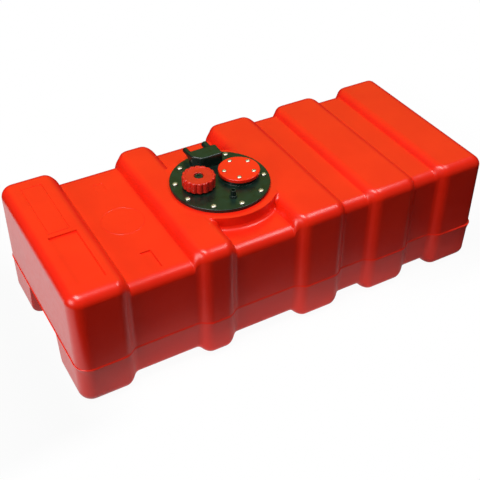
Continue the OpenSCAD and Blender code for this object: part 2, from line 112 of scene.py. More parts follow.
# moulded polypropylene of the cap: a duller and darker red than the tank (grain coarsened from about 0.2 mm)
capFinish = {"red": "#D02818", "deepRed": "#C01E12", "cloudSize": 14, "grainSize": 0.9, "grainDepth": 0.15,
             "glossLow": 0.24, "glossHigh": 0.34}
capRed, tree, shader, place = startMaterial("mouldedPolypropylene", {"IOR": 1.49})
cloud = addNode(tree, "ShaderNodeTexNoise", {"Scale": perMetre / capFinish["cloudSize"], "Detail": 2.0}, {"Vector": place})
tone = addNode(tree, "ShaderNodeValToRGB", None, {"Fac": cloud.outputs["Fac"]})
tone.color_ramp.elements[0].position, tone.color_ramp.elements[0].color = 0.3, hexColour(capFinish["deepRed"])
tone.color_ramp.elements[1].position, tone.color_ramp.elements[1].color = 0.7, hexColour(capFinish["red"])
tree.links.new(tone.outputs["Color"], shader.inputs["Base Color"])
gloss = addNode(tree, "ShaderNodeMapRange", {"From Min": 0.3, "From Max": 0.7, "To Min": capFinish["glossLow"],
                                             "To Max": capFinish["glossHigh"]}, {"Value": cloud.outputs["Fac"]})
tree.links.new(gloss.outputs["Result"], shader.inputs["Roughness"])
grain = addNode(tree, "ShaderNodeTexNoise", {"Scale": perMetre / capFinish["grainSize"], "Detail": 2.0}, {"Vector": place})
grainBump = addNode(tree, "ShaderNodeBump", {"Strength": 0.1, "Distance": capFinish["grainDepth"] * mm},
                    {"Height": grain.outputs["Fac"]})
tree.links.new(grainBump.outputs["Normal"], shader.inputs["Normal"])

# glass filled nylon, moulded in a spark finished tool: near black with a green cast, half matt
# (its fine grain is coarsened from about 0.2 mm)
nylonFinish = {"black": "#0B1713", "greenBlack": "#112A21", "cloudSize": 11, "grainSize": 0.8, "grainDepth": 0.15,
               "glossLow": 0.26, "glossHigh": 0.36}
nylonBlack, tree, shader, place = startMaterial("mouldedNylon", {"IOR": 1.53})
cloud = addNode(tree, "ShaderNodeTexNoise", {"Scale": perMetre / nylonFinish["cloudSize"], "Detail": 3.0}, {"Vector": place})
tone = addNode(tree, "ShaderNodeValToRGB", None, {"Fac": cloud.outputs["Fac"]})
tone.color_ramp.elements[0].position, tone.color_ramp.elements[0].color = 0.3, hexColour(nylonFinish["black"])
tone.color_ramp.elements[1].position, tone.color_ramp.elements[1].color = 0.75, hexColour(nylonFinish["greenBlack"])
tree.links.new(tone.outputs["Color"], shader.inputs["Base Color"])
gloss = addNode(tree, "ShaderNodeMapRange", {"From Min": 0.3, "From Max": 0.7, "To Min": nylonFinish["glossLow"],
                                             "To Max": nylonFinish["glossHigh"]}, {"Value": cloud.outputs["Fac"]})
tree.links.new(gloss.outputs["Result"], shader.inputs["Roughness"])
grain = addNode(tree, "ShaderNodeTexNoise", {"Scale": perMetre / nylonFinish["grainSize"], "Detail": 3.0}, {"Vector": place})
grainBump = addNode(tree, "ShaderNodeBump", {"Strength": 0.1, "Distance": nylonFinish["grainDepth"] * mm},
                    {"Height": grain.outputs["Fac"]})
tree.links.new(grainBump.outputs["Normal"], shader.inputs["Normal"])

# nitrile rubber, moulded and dusted with talc: matt charcoal with pale specks (coarsened from fine dust)
rubberFinish = {"black": "#101010", "dusty": "#2A2A29", "speckSize": 1.1}
nitrile, tree, shader, place = startMaterial("mouldedNitrile", {"IOR": 1.52, "Roughness": 0.78})
speck = addNode(tree, "ShaderNodeTexNoise", {"Scale": perMetre / rubberFinish["speckSize"], "Detail": 4.0},
                {"Vector": place})
tone = addNode(tree, "ShaderNodeValToRGB", None, {"Fac": speck.outputs["Fac"]})
tone.color_ramp.elements[0].position, tone.color_ramp.elements[0].color = 0.4, hexColour(rubberFinish["black"])
tone.color_ramp.elements[1].position, tone.color_ramp.elements[1].color = 0.8, hexColour(rubberFinish["dusty"])
tree.links.new(tone.outputs["Color"], shader.inputs["Base Color"])

# stainless steel, headed and tumbled: bright, with faint scratches in every direction (coarsened from hairlines)
steelFinish = {"bright": "#E4DECB", "dull": "#CBC5B4", "scratchSize": 0.7, "glossLow": 0.36, "glossHigh": 0.5}
stainless, tree, shader, place = startMaterial("tumbledStainless", {"Metallic": 1.0})
scratch = addNode(tree, "ShaderNodeTexNoise", {"Scale": perMetre / steelFinish["scratchSize"], "Detail": 4.0,
                                               "Distortion": 1.5}, {"Vector": place})
tone = addNode(tree, "ShaderNodeValToRGB", None, {"Fac": scratch.outputs["Fac"]})
tone.color_ramp.elements[0].position, tone.color_ramp.elements[0].color = 0.3, hexColour(steelFinish["dull"])
tone.color_ramp.elements[1].position, tone.color_ramp.elements[1].color = 0.6, hexColour(steelFinish["bright"])
tree.links.new(tone.outputs["Color"], shader.inputs["Base Color"])
gloss = addNode(tree, "ShaderNodeMapRange", {"From Min": 0.3, "From Max": 0.7, "To Min": steelFinish["glossHigh"],
                                             "To Max": steelFinish["glossLow"]}, {"Value": scratch.outputs["Fac"]})
tree.links.new(gloss.outputs["Result"], shader.inputs["Roughness"])

# brass, turned from bar: warm yellow with rings from the tool (coarsened from about 0.2 mm)
brassFinish = {"yellow": "#C9A050", "tarnish": "#9C7636", "ringSize": 5.03}
waveRepeat = 2 * pi / 20  # size of one wave at scale 1
brass, tree, shader, place = startMaterial("turnedBrass", {"Metallic": 1.0, "Roughness": 0.33})
ring = addNode(tree, "ShaderNodeTexWave", {"Scale": waveRepeat * perMetre / brassFinish["ringSize"], "Distortion": 2.0},
               {"Vector": place}, bands_direction="Z")
tone = addNode(tree, "ShaderNodeValToRGB", None, {"Fac": ring.outputs["Fac"]})
tone.color_ramp.elements[0].position, tone.color_ramp.elements[0].color = 0.1, hexColour(brassFinish["tarnish"])
tone.color_ramp.elements[1].position, tone.color_ramp.elements[1].color = 0.6, hexColour(brassFinish["yellow"])
tree.links.new(tone.outputs["Color"], shader.inputs["Base Color"])
print("materials made")


crispFrom, flatWeight = radians(38), 60  # edges that bend more stay crisp; pull of large faces on the shading


def newPiece(name, bm, material, body, *nodes, soften=True):
    bmesh.ops.scale(bm, vec=(mm, mm, mm), verts=bm.verts)
    bmesh.ops.recalc_face_normals(bm, faces=bm.faces)
    for edge in bm.edges:
        edge.smooth = edge.calc_face_angle(0) < crispFrom
    mesh = bpy.data.meshes.new(name)
    bm.to_mesh(mesh)
    bm.free()
    mesh.materials.append(material)
    for polygon in mesh.polygons:
        polygon.use_smooth = True
    piece = bpy.data.objects.new(name, mesh)
    bpy.context.scene.collection.objects.link(piece)
    if soften:
        # flat faces keep flat shading right up to their rounded edges
        even = piece.modifiers.new("evenShading", "WEIGHTED_NORMAL")
        even.weight, even.keep_sharp = flatWeight, True
    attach(piece, body)
    if nodes:
        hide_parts(*nodes)
    return piece


def rounded(corners, steps=5):
    # corners are (radius, height, rounding); gives the profile with each corner drawn as an arc
    line = []
    for i, (r, z, bend) in enumerate(corners):
        if not bend or i in (0, len(corners) - 1):
            line.append((r, z))
            continue
        here = Vector((r, z))
        before = (Vector(corners[i - 1][:2]) - here).normalized()
        after = (Vector(corners[i + 1][:2]) - here).normalized()
        half = before.angle(after) / 2
        reach = bend / tan(half)
        middle = here + (before + after).normalized() * (bend / sin(half))
        start, end = here + before * reach - middle, here + after * reach - middle
        sweep = start.angle_signed(end)
        for k in range(steps + 1):
            turn = Matrix.Rotation(-sweep * k / steps, 2)
            spot = middle + turn @ start
            line.append((spot.x, spot.y))
    return line


def turned(bm, profile, centre, steps=64, shape=None, loop=False):
    # sweeps a profile of (radius, height[, weight of the shape[, shift x, shift y]]) about an upright axis
    rings = []
    for point in profile:
        r, z = point[:2]
        weight = point[2] if len(point) > 2 else 0
        cx, cy = (centre[0] + point[3], centre[1] + point[4]) if len(point) > 3 else centre
        if r < 1e-6:
            rings.append([bm.verts.new((cx, cy, z))])
            continue
        ring = []
        for k in range(steps):
            a = 2 * pi * k / steps
            q = r + (shape(a, r) * weight if shape and weight else 0)
            ring.append(bm.verts.new((cx + q * cos(a), cy + q * sin(a), z)))
        rings.append(ring)
    pairs = list(zip(rings, rings[1:])) + ([(rings[-1], rings[0])] if loop else [])
    for a, b in pairs:
        for k in range(steps):
            n = (k + 1) % steps
            corner = [a[k % len(a)], a[n % len(a)], b[n % len(b)], b[k % len(b)]]
            face = []
            for v in corner:
                if v not in face:
                    face.append(v)
            if len(face) > 2:
                bm.faces.new(face)


# the tank: one ribbed moulded shell, drawn as cross sections along its length
tank = {"length": 800, "width": 350, "height": 230, "partZ": 82, "wall": 4, "edgeR": 19, "footR": 21, "corners": (25, 16),
        "upperDraft": 0.9, "lowerDraft": 0.6, "sideSink": 11.5, "footRise": 12, "panelEdge": 138,
        # each bay: from, to, how far it sinks on top
        "bays": [(-306.5, -178, 22), (-118.5, 10, 22), (96.5, 156.5, 11), (246.5, 306.5, 11)],
        # slopes of the bays: how far they reach out, the round above and the fillet at the foot
        "reach": 12.6, "topRounds": (21, 3), "sideReach": 16, "sideLag": 4, "sideRounds": (24, 17), "innerReach": 0.6,
        # the hand holds under both ends
        "gripHalf": 64, "gripDepth": 58, "gripUnder": 3.5, "gripRun": 12, "gripEdge": 0.6,
        # the parting line: height above it and how far out, a crease over a bead that runs out into the lower wall
        "bead": [(1.6, 0), (0.6, -0.05), (0.2, 0.1), (-0.1, 0.7), (-0.5, 1.9), (-1.2, 2.75), (-2, 2.9), (-3.2, 2.75),
                 (-7, 2.2), (-14, 1.2), (-22, 0.4), (-30, 0)], "beadEnd": 2.8, "beadSide": 0.42, "beadFull": (325, 385)}
# the seat of the hatch; inward is how much smaller it gets for each millimetre inside the outer skin
seat = {"x": -59.25, "y": -10, "r": 102, "top": 230.6, "fillet": 8, "draft": 0.03, "opening": 66, "patch": 118, "melt": 14,
        "inward": 1.5, "rimSoft": 2.5, "wallRun": 0.8}
# shallow insets left by the mould: x from, to, y from, to, depth, width of the groove (0 is a whole inset)
insets = [(-373, -324.7, -137.5, -11.4, 3.0, 0), (-369.2, -331.6, -2.6, 136, 0.6, 1.2),
          (-250.6, -231.4, -137, -91, 2.2, 0), (-247.5, -229, 91, 117, 0.5, 0)]
insetWall = 0.4


def ease(t):
    c = max(0.0, min(1.0, t))
    return c * c * (3 - 2 * c)


def fall(d, r):
    return r - sqrt(max(0.0, r * r - (r - max(d, 0)) ** 2)) if d < r else 0.0


def slopeRun(sink, rounds):
    return sqrt(sum(rounds) ** 2 - (sum(rounds) - sink) ** 2)


def slopeDrop(u, sink, rounds):
    # depth u millimetres into a slope: an arc over the edge that runs straight into the arc of the fillet at its foot
    run, (over, under) = slopeRun(sink, rounds), rounds
    if u <= 0 or u >= run:
        return 0.0 if u <= 0 else sink
    if u < run * over / (over + under):
        return over - sqrt(over ** 2 - u * u)
    return sink - under + sqrt(under ** 2 - (run - u) ** 2)


def topSunk(x, o):
    # how far the top lies under the ribs, on the skin o millimetres inside the outer one
    reach, deep = tank["reach"] + tank["innerReach"] * o, 0
    for a, b, sink in tank["bays"]:
        deep += min(slopeDrop(u, sink, tank["topRounds"]) for u in (x - a + reach, b + reach - x))
    return deep


def sideSunk(x, o):
    # share of the way into the bays at the sides
    reach, deep = tank["sideReach"] + tank["innerReach"] * o, 0
    for a, b, _ in tank["bays"]:
        ways = x - a + reach, b + reach + tank["sideLag"] - x
        deep += min(slopeDrop(u, tank["sideSink"], tank["sideRounds"]) for u in ways)
    return deep / tank["sideSink"]


def ribTop(x, o):
    d = tank["length"] / 2 - o - abs(x)
    return tank["height"] - o - topSunk(x, o) - fall(d, tank["edgeR"] - o)


def insetDepth(x, y):
    deep = 0.0
    for x0, x1, y0, y1, depth, groove in insets:
        edge = min(x - x0, x1 - x, y - y0, y1 - y)
        if edge > 0:
            deep += depth * min(1.0, edge / insetWall)
            if groove and edge > groove:
                deep -= depth * min(1.0, (edge - groove) / insetWall)
    return deep


def topHeight(x, y, o):
    # height of the upper skin: ribs and bays, with the round seat of the hatch blended in
    base = ribTop(x, o)
    r = hypot(x - seat["x"], y - seat["y"])
    top, edge = seat["top"] - seat["inward"] * o, seat["r"] - seat["inward"] * o
    if r < edge - seat["melt"]:
        return top
    bend = max(seat["fillet"] - o, 2)
    foot = edge + seat["draft"] * max(top - base, 0)
    lean = asin(seat["draft"])
    middle = foot + bend * tan((pi / 2 - lean) / 2)
    if r >= middle:
        z = base
    elif r > middle - bend * cos(lean):
        z = base + bend - sqrt(bend ** 2 - (middle - r) ** 2)
    else:
        z = base + (foot - r) / seat["draft"]
    soft = seat["rimSoft"]
    mix = max(soft - abs(z - top), 0) / soft
    z = min(z, top) - mix * mix * soft / 4
    inside = ease((edge - r) / 6)
    z = max(z, base - 2 * inside) if base > top - 3 else z
    flush = ease((base - top + 3) / 2.4)  # where a rib is as high as the seat, the seat runs out into it with no step
    z += flush * (base + (top - base) * ease((edge - r) / seat["melt"]) - z)
    return z - (insetDepth(x, y) if not o else 0)


def filled(stops, gap):
    # the stops in order, none closer than 0.2 mm, with more put in wherever two are further apart than gap(middle)
    line = []
    for s in sorted(stops):
        if not line or s - line[-1] > 0.2:
            line.append(s)
    out = []
    for a, b in zip(line, line[1:]):
        n = max(1, ceil((b - a) / gap((a + b) / 2)))
        out += [a + (b - a) * k / n for k in range(n)]
    return out + [line[-1]]


def nearest(values, to):
    return min(range(len(values)), key=lambda i: abs(values[i] - to))


def makeSkin(bm, o, fine):
    half = tank["length"] / 2 - o
    arc, corner = (12, 10) if fine else (5, 4)
    x0, x1 = seat["x"] - seat["patch"], seat["x"] + seat["patch"]
    y0, y1 = seat["y"] - seat["patch"], seat["y"] + seat["patch"]
    # cross sections stand closest together at the ends, the hand holds, the slopes and the insets
    inner = [tank["gripDepth"] + tank["gripRun"] * (k / 6 - 0.5) for k in range(7)]
    tip = [1 - cos(pi / 2 * k / arc) for k in range(arc + 1)]
    xs = [x0, x1]
    for way, r in ((-1, tank["corners"][0]), (1, tank["footR"])):
        xs += [way * (half - d) for d in inner + [(r - o) * t for t in tip]]
    more = tank["innerReach"] * o
    for a, b, sink in tank["bays"]:
        for deep, rounds, reach, lag in ((sink, tank["topRounds"], tank["reach"] + more, 0),
                                         (tank["sideSink"], tank["sideRounds"], tank["sideReach"] + more, tank["sideLag"])):
            run = slopeRun(deep, rounds)
            foot = run * rounds[1] / sum(rounds)
            bends = [0, run / 2, run]
            if fine:
                bends = [(run - foot) * sin(pi / 2 * k / 9) for k in range(10)] + [run - foot * k / 4 for k in range(4)]
            xs += [a - reach + u for u in bends] + [b + reach + lag - u for u in bends]
    ys = [y0, y1, -tank["panelEdge"], tank["panelEdge"]]
    ys += [way * (tank["gripHalf"] + tank["gripRun"] * k / 6) for way in (-1, 1) for k in range(-1, 8)]
    if fine:
        for xa, xb, ya, yb, _, groove in insets:
            for e in [0, insetWall] + ([groove, groove + insetWall] if groove else []):
                xs += [xa + e, xb - e]
                ys += [ya + e, yb - e]
    xs = filled(xs, lambda m: (5 if x0 < m < x1 else 11) if fine else 30)
    ys = filled(ys, lambda m: (6 if y0 < m < y1 else 10) if fine else 30)
    bead = tank["bead"] if fine else [(0, 0)]
    rows = []
    for x in xs:
        d = half - abs(x)
        h = sideSunk(x, o)
        cornerR = tank["corners"][x > 0] - o
        inTop, inFoot, inSide = fall(d, tank["edgeR"] - o), fall(d, tank["footR"] - o), fall(d, cornerR)
        w = tank["width"] / 2 - o - tank["sideSink"] * h - inSide
        zt = tank["height"] - o - topSunk(x, o) - inTop
        zb = o + tank["footRise"] * h + inFoot
        rt, rb = max(tank["edgeR"] - o - inTop, 0), max(tank["footR"] - o - inFoot, 0)
        wt = w - tan(radians(tank["upperDraft"])) * (zt - tank["partZ"])
        wb = w - tan(radians(tank["lowerDraft"])) * (tank["partZ"] - zb)
        lip = fall(d, tank["gripEdge"])
        roof = tank["partZ"] - tank["gripUnder"] + o + lip - zb
        roof *= 1 - ease((d - tank["gripDepth"]) / tank["gripRun"] + 0.5)
        # the bead turns with the rounded corner in plan, and over the hand hold only its upper part is left
        aside = asin(max(0.0, min(1.0, 1 - d / cornerR))) if d < cornerR else 0.0
        way = (1 if x > 0 else -1) * sin(aside), cos(aside)
        short = 1 - (1 + tank["beadEnd"] / tank["bead"][-1][0]) * sin(aside)
        out0, out1 = tank["beadFull"]
        swell = tank["beadSide"] + (1 - tank["beadSide"]) * ease((x - out0) / (out1 - out0))
        upper = [(x, wt + (w - wt) * k / 3, zt - rt + (tank["partZ"] + bead[0][0] - zt + rt) * k / 3) for k in (1, 2)]
        middle = [(x + way[0] * out * swell, w + way[1] * out * swell, tank["partZ"] + (rise if rise > 0 else rise * short))
                  for rise, out in bead]
        beadZ = middle[-1][2]
        lower = [(x, w + (wb - w) * k / 3, beadZ + (zb + rb - beadZ) * k / 3) for k in (1, 2, 3)]
        turn = [pi / 2 * k / corner for k in range(corner + 1)]
        side = [(x, wt - rt + rt * sin(a), zt - rt + rt * cos(a)) for a in turn]
        side += upper + middle + lower
        side += [(x, wb - rb + rb * cos(a), zb + rb - rb * sin(a)) for a in turn[1:]]
        floor = [(x, y, zb + roof * (1 - ease((abs(y) - tank["gripHalf"] - o - lip) / tank["gripRun"]))) for y in ys]
        ring = [(x, y, topHeight(x, y, o)) for y in ys] + side + floor[::-1] + [(a, -b, c) for a, b, c in side[::-1]]
        rows.append([bm.verts.new(p) for p in ring])
    m, n, sideCount = len(rows[0]), len(ys), len(side)
    i0, i1, j0, j1 = nearest(xs, x0), nearest(xs, x1), nearest(ys, y0), nearest(ys, y1)
    for i in range(len(xs) - 1):
        for j in range(m):
            if i0 <= i < i1 and j0 <= j < j1:
                continue
            k = (j + 1) % m
            bm.faces.new((rows[i][j], rows[i + 1][j], rows[i + 1][k], rows[i][k]))
    # round patch between the square left open above and the opening of the hatch
    square = [(i, j0) for i in range(i0, i1)] + [(i1, j) for j in range(j0, j1)]
    square += [(i, j1) for i in range(i1, i0, -1)] + [(i0, j) for j in range(j1, j0, -1)]
    edge, wallRun = seat["r"] - seat["inward"] * o, seat["wallRun"]
    radii = [seat["opening"]] + [edge - d for d in (20, 8, 5, 3, 1.8, 1, 0.5, 0)]
    if fine:
        radii += [edge + wallRun * k / 4 for k in range(1, 5)]
        radii += [edge + wallRun + seat["fillet"] * (k / 10) ** 1.5 for k in range(1, 11)]
    else:
        radii += [edge + 3, edge + 8]
    spokes = []
    for i, j in square:
        rim = rows[i][j]
        a = atan2(rim.co.y - seat["y"], rim.co.x - seat["x"])
        spots = [(seat["x"] + r * cos(a), seat["y"] + r * sin(a)) for r in radii]
        count = 9 if fine else 2
        lastX, lastY = spots[-1]
        spots += [(lastX + (rim.co.x - lastX) * k / count, lastY + (rim.co.y - lastY) * k / count)
                  for k in range(1, count)]
        spokes.append([bm.verts.new((x, y, topHeight(x, y, o))) for x, y in spots] + [rim])
    for s in range(len(spokes)):
        a, b = spokes[s], spokes[(s + 1) % len(spokes)]
        for k in range(len(a) - 1):
            bm.faces.new((a[k], a[k + 1], b[k + 1], b[k]))
    # flat ends, as rows across from side to side
    for row in (rows[0], rows[-1]):
        top, floor = row[:n], row[n + sideCount:2 * n + sideCount][::-1]
        near, far = row[n:n + sideCount], row[2 * n + sideCount:][::-1]
        lastBead = corner + 3 + len(bead) - 1
        beadZ, lowZ = near[lastBead].co.z, near[sideCount - corner - 1].co.z
        grid = [[far[0]] + top + [near[0]]]
        for k in range(corner + 1, sideCount - corner):
            p = near[k].co
            line = [far[k]]
            for y, under in zip(ys, floor):
                z = p.z
                if k > lastBead:
                    z = beadZ + (under.co.z - beadZ) * (beadZ - p.z) / (beadZ - lowZ) * 0.97  # stays clear of the floor
                line.append(bm.verts.new((p.x, y, z)))
            grid.append(line + [near[k]])
        grid.append([far[-1]] + floor + [near[-1]])
        for a, b in zip(grid, grid[1:]):
            for k in range(len(a) - 1):
                bm.faces.new((a[k], b[k], b[k + 1], a[k + 1]))
    bmesh.ops.delete(bm, geom=[v for v in bm.verts if not v.link_faces], context="VERTS")
    return [s[0] for s in spokes]


bm = bmesh.new()
outerRim = makeSkin(bm, 0, True)
innerRim = makeSkin(bm, tank["wall"], False)
loops = [bm.edges.get((r[k], r[(k + 1) % len(r)])) for r in (outerRim, innerRim) for k in range(len(r))]
bmesh.ops.bridge_loops(bm, edges=loops)
bmesh.ops.remove_doubles(bm, verts=bm.verts, dist=0.01)
bmesh.ops.dissolve_degenerate(bm, edges=bm.edges, dist=0.005)
tankPiece = newPiece("tankShell", bm, tankRed, "tank", "tank_shell")
print("tank shell made:", len(tankPiece.data.polygons), "faces")

# a round witness line of the mould on the floor of the wide bay
witness = {"x": -240, "y": 0, "r": 36.3, "width": 2.2, "height": 0.42, "sunk": 0.05}
bm = bmesh.new()
floorZ = tank["height"] - tank["bays"][0][2] - witness["sunk"]
humps = [pi * k / 6 for k in range(7)]
turned(bm, [(witness["r"] + witness["width"] / 2 * cos(a), floorZ + witness["height"] * sin(a)) for a in humps],
       (witness["x"], witness["y"]), 96)
ringPiece = newPiece("mouldRing", bm, tankRed, "tank")

# the hatch plate, with its filler neck and the boss of the sender port
plate = {"r": 87.8, "low": 232.6, "high": 237.1, "edge": 1.3, "spigot": (61, 64.5), "spigotLow": 226.6, "sunk": 0.05}
neck = {"x": -99.75, "y": -9.5, "r": 21.5, "bore": 18, "top": 250.1, "foot": 2.0, "wall": 2,
        "lead": 6, "ridge": 0.85, "turns": 1.55, "threadUp": 2.6}
port = {"x": -22.85, "y": -13, "boss": 34, "bore": 20, "bossTop": 245.1, "foot": 0.8}
bm = bmesh.new()
shiftX, shiftY = neck["x"] - seat["x"], neck["y"] - seat["y"]
aside = 0, shiftX, shiftY  # these points of the profile go round the neck, the others round the plate
disc = [(neck["bore"], plate["spigotLow"]) + aside, (neck["bore"], plate["high"]) + aside]
rim = rounded([(70, plate["high"], 0), (plate["r"], plate["high"], plate["edge"]), (plate["r"], plate["low"], 0.4),
               (66, plate["low"], 0)])
inside, outside = plate["spigot"]
rim += [(outside, plate["low"]), (outside, plate["spigotLow"]), (inside, plate["spigotLow"]), (inside, plate["low"])]
disc += [spot + (0, 0, 0) for spot in rim]
disc += [(neck["bore"] + neck["wall"], plate["low"]) + aside, (neck["bore"] + neck["wall"], plate["spigotLow"]) + aside]
turned(bm, disc, (seat["x"], seat["y"]), 128, loop=True)
footZ = plate["high"] - plate["sunk"]
tube = rounded([(neck["r"] + 5, footZ, 0), (neck["r"], plate["high"], neck["foot"]), (neck["r"], neck["top"], 0.8),
                (neck["bore"], neck["top"], 0.8), (neck["bore"], plate["high"] - 4, 0)])
turned(bm, tube, (neck["x"], neck["y"]), 72)
boss = rounded([(port["boss"] + 3, footZ, 0), (port["boss"] + 0.6, plate["high"], port["foot"]),
                (port["boss"], port["bossTop"], 0.6), (port["bore"], port["bossTop"], 0.5), (port["bore"], plate["low"], 0)])
turned(bm, boss, (port["x"], port["y"]), 72)
# screw thread of the neck, a ridge that winds up and fades at both ends
perTurn, fade = 60, 8
last = int(neck["turns"] * perTurn)
wound = []
for k in range(last + 1):
    a = 2 * pi * k / perTurn
    z = plate["high"] + neck["threadUp"] + neck["lead"] * k / perTurn
    full = min(1.0, k / fade, (last - k) / fade)
    root, crest = neck["r"] - 0.2, neck["r"] - 0.15 + neck["ridge"] * full
    wound.append([bm.verts.new((neck["x"] + r * cos(a), neck["y"] + r * sin(a), z + dz))
                  for r, dz in ((root, -1.3), (crest, -0.5), (crest, 0.5), (root, 1.3))])
for a, b in zip(wound, wound[1:]):
    for k in range(3):
        bm.faces.new((a[k], b[k], b[k + 1], a[k + 1]))
platePiece = newPiece("hatchPlate", bm, nylonBlack, "tank", "hatch_plate")
print("hatch plate made")

# pan head screws with a six sided drive
hatchScrew = {"count": 10, "start": 90, "ring": 78, "z": 237.1, "head": 4.8, "shank": 2.5, "length": 15}
coverScrew = {"count": 5, "start": -118, "ring": 27, "z": 250.1, "head": 4, "shank": 2, "length": 11}


def hexShape(angle, r):
    return r * (cos(pi / 6) / cos((angle + pi / 6) % (pi / 3) - pi / 6) - 1)


def addScrews(bm, kind, x, y):
    # heights and radii of the head and its drive are shares of its size
    hr, hh, z, shank = kind["head"], 0.62 * kind["head"], kind["z"], kind["shank"]
    low = z - kind["length"]
    head = [(0, low - 0.8), (shank, low), (shank, z)]
    head += rounded([(shank, z, 0), (hr, z + 0.02, 0.15), (hr, z + 0.3 * hh, 0)], 2)
    head += [(hr * cos(a), z + 0.3 * hh + 0.7 * hh * sin(a)) for a in (radians(d) for d in (12, 24, 36, 48, 58))]
    head += [(0.46 * hr, z + 0.94 * hh), (0.43 * hr, z + 0.93 * hh, 1), (0.4 * hr, z + 0.86 * hh, 1),
             (0.38 * hr, z + 0.35 * hh, 1), (0, z + 0.25 * hh)]
    for k in range(kind["count"]):
        a = radians(kind["start"] + 360 / kind["count"] * k)
        turned(bm, head, (x + kind["ring"] * cos(a), y + kind["ring"] * sin(a)), 30, hexShape)


bm = bmesh.new()
addScrews(bm, hatchScrew, seat["x"], seat["y"])
newPiece("hatchScrews", bm, stainless, "tank", "hatch_screws")
bm = bmesh.new()
addScrews(bm, coverScrew, port["x"], port["y"])
newPiece("coverScrews", bm, stainless, "tank", "cover_screws")

# the filler cap: sixteen round lobes, a raised rim and a pocket for the vent screw
cap = {"r": 29, "lobes": 16, "valley": 2.3, "low": 240.7, "roof": 252.7, "top": 260.1, "inside": 22.6, "dish": 258.9,
       "pocket": 8.5, "pocketZ": 255.1, "stem": 2.55, "lobeFrom": 4.6, "lobeRun": 2.6}


def lobeShape(angle, r):
    return -cap["valley"] * (1 - abs(cos(cap["lobes"] / 2 * angle)) ** 0.75)


bm = bmesh.new()
crown = rounded([(cap["inside"], cap["low"] + 1, 0), (cap["inside"], cap["low"], 0.4), (cap["r"], cap["low"], 0.7),
                 (cap["r"], cap["top"], 2.2), (cap["r"] - 5.2, cap["top"], 0.5), (cap["r"] - 5.9, cap["top"] - 0.9, 0.5),
                 (cap["pocket"] + 1, cap["dish"], 0), (cap["pocket"], cap["dish"], 0.7),
                 (cap["pocket"], cap["pocketZ"], 0.4), (cap["stem"], cap["pocketZ"], 0), (cap["stem"], cap["roof"], 0),
                 (cap["inside"], cap["roof"], 0.6), (cap["inside"], cap["low"] + 1, 0)], 5)
crown = [(r, z, max(0.0, min(1.0, (r - cap["r"] + cap["lobeFrom"]) / cap["lobeRun"]))) for r, z in crown[:-1]]
turned(bm, crown, (neck["x"], neck["y"]), 192, lobeShape, loop=True)
newPiece("fillerCap", bm, capRed, "filler_cap", "filler_cap")

# the vent screw, with a six sided socket
vent = {"head": 7.4, "stem": 2.5, "low": 250.7, "headLow": 256.2, "top": 258.0, "socket": 1.6}
bm = bmesh.new()
head, stem, topZ = vent["head"], vent["stem"], vent["top"]
knob = [(0, vent["low"])]
knob += rounded([(stem - 0.4, vent["low"], 0), (stem, vent["low"] + 0.5, 0.2), (stem, vent["headLow"], 0),
                 (head, vent["headLow"], 0.3), (head - 0.4, topZ, 0.5), (0.55 * head, topZ, 0)], 4)
knob += [(0.53 * head, topZ - 0.1, 1), (0.5 * head, topZ - vent["socket"], 1), (0, topZ - vent["socket"] - 0.2)]
turned(bm, knob, (neck["x"], neck["y"]), 48, hexShape)
newPiece("ventScrew", bm, nylonBlack, "vent_screw", "vent_screw")

# the blank over the sender port, with a lip that hides its gasket
cover = {"r": 36.7, "low": 247.1, "top": 250.1, "edge": 1.2, "lip": 36.05, "lipLow": 244.2}
bm = bmesh.new()
blank = [(0, cover["low"])]
blank += rounded([(10, cover["low"], 0), (cover["lip"], cover["low"], 0.1), (cover["lip"], cover["lipLow"], 0.1),
                  (cover["r"], cover["lipLow"], 0.25), (cover["r"], cover["top"], cover["edge"]), (10, cover["top"], 0)])
blank.append((0, cover["top"]))
turned(bm, blank, (port["x"], port["y"]), 96)
newPiece("senderCover", bm, tankRed, "tank", "sender_cover")
print("screws, cap and cover made")

# the fuel connector: a rounded block with two hose tails, grown together as one moulding
block = {"foot": [(-12, 41.2), (29, 41.2), (30, 62.2), (-28, 62.2), (-25.5, 55)],
         "lid": [(-12, 41.2), (29, 41.2), (30, 73), (-28, 73), (-25.5, 55)], "low": 238.1, "top": 259.9,
         # each tail: x, radius, height
         "tails": [(-21, 4.9, 252.1), (17.5, 6.0, 252.3)], "tailFrom": 72, "tailEnd": 92.2, "bore": 3, "collar": 1.2,
         "uprightBevel": 3, "rimBevel": 2.5, "voxel": 0.7}
bm = bmesh.new()
base = [bm.verts.new((seat["x"] + x, seat["y"] + y, block["low"])) for x, y in block["foot"]]
lid = [bm.verts.new((seat["x"] + x, seat["y"] + y, block["top"])) for x, y in block["lid"]]
bm.faces.new(base)
bm.faces.new(lid)
uprights = []
for k in range(len(base)):
    n = (k + 1) % len(base)
    bm.faces.new((base[k], base[n], lid[n], lid[k]))
    uprights.append(bm.edges.get((base[k], lid[k])))
bmesh.ops.bevel(bm, geom=uprights, offset=block["uprightBevel"], segments=4, profile=0.5, affect="EDGES")
bm.normal_update()
rimEdges = [e for e in bm.edges if all(abs(v.co.z - block["top"]) < 1e-4 for v in e.verts)
            and any(abs(f.normal.z) < 0.5 for f in e.link_faces)]
bmesh.ops.bevel(bm, geom=rimEdges, offset=block["rimBevel"], segments=4, profile=0.5, affect="EDGES")
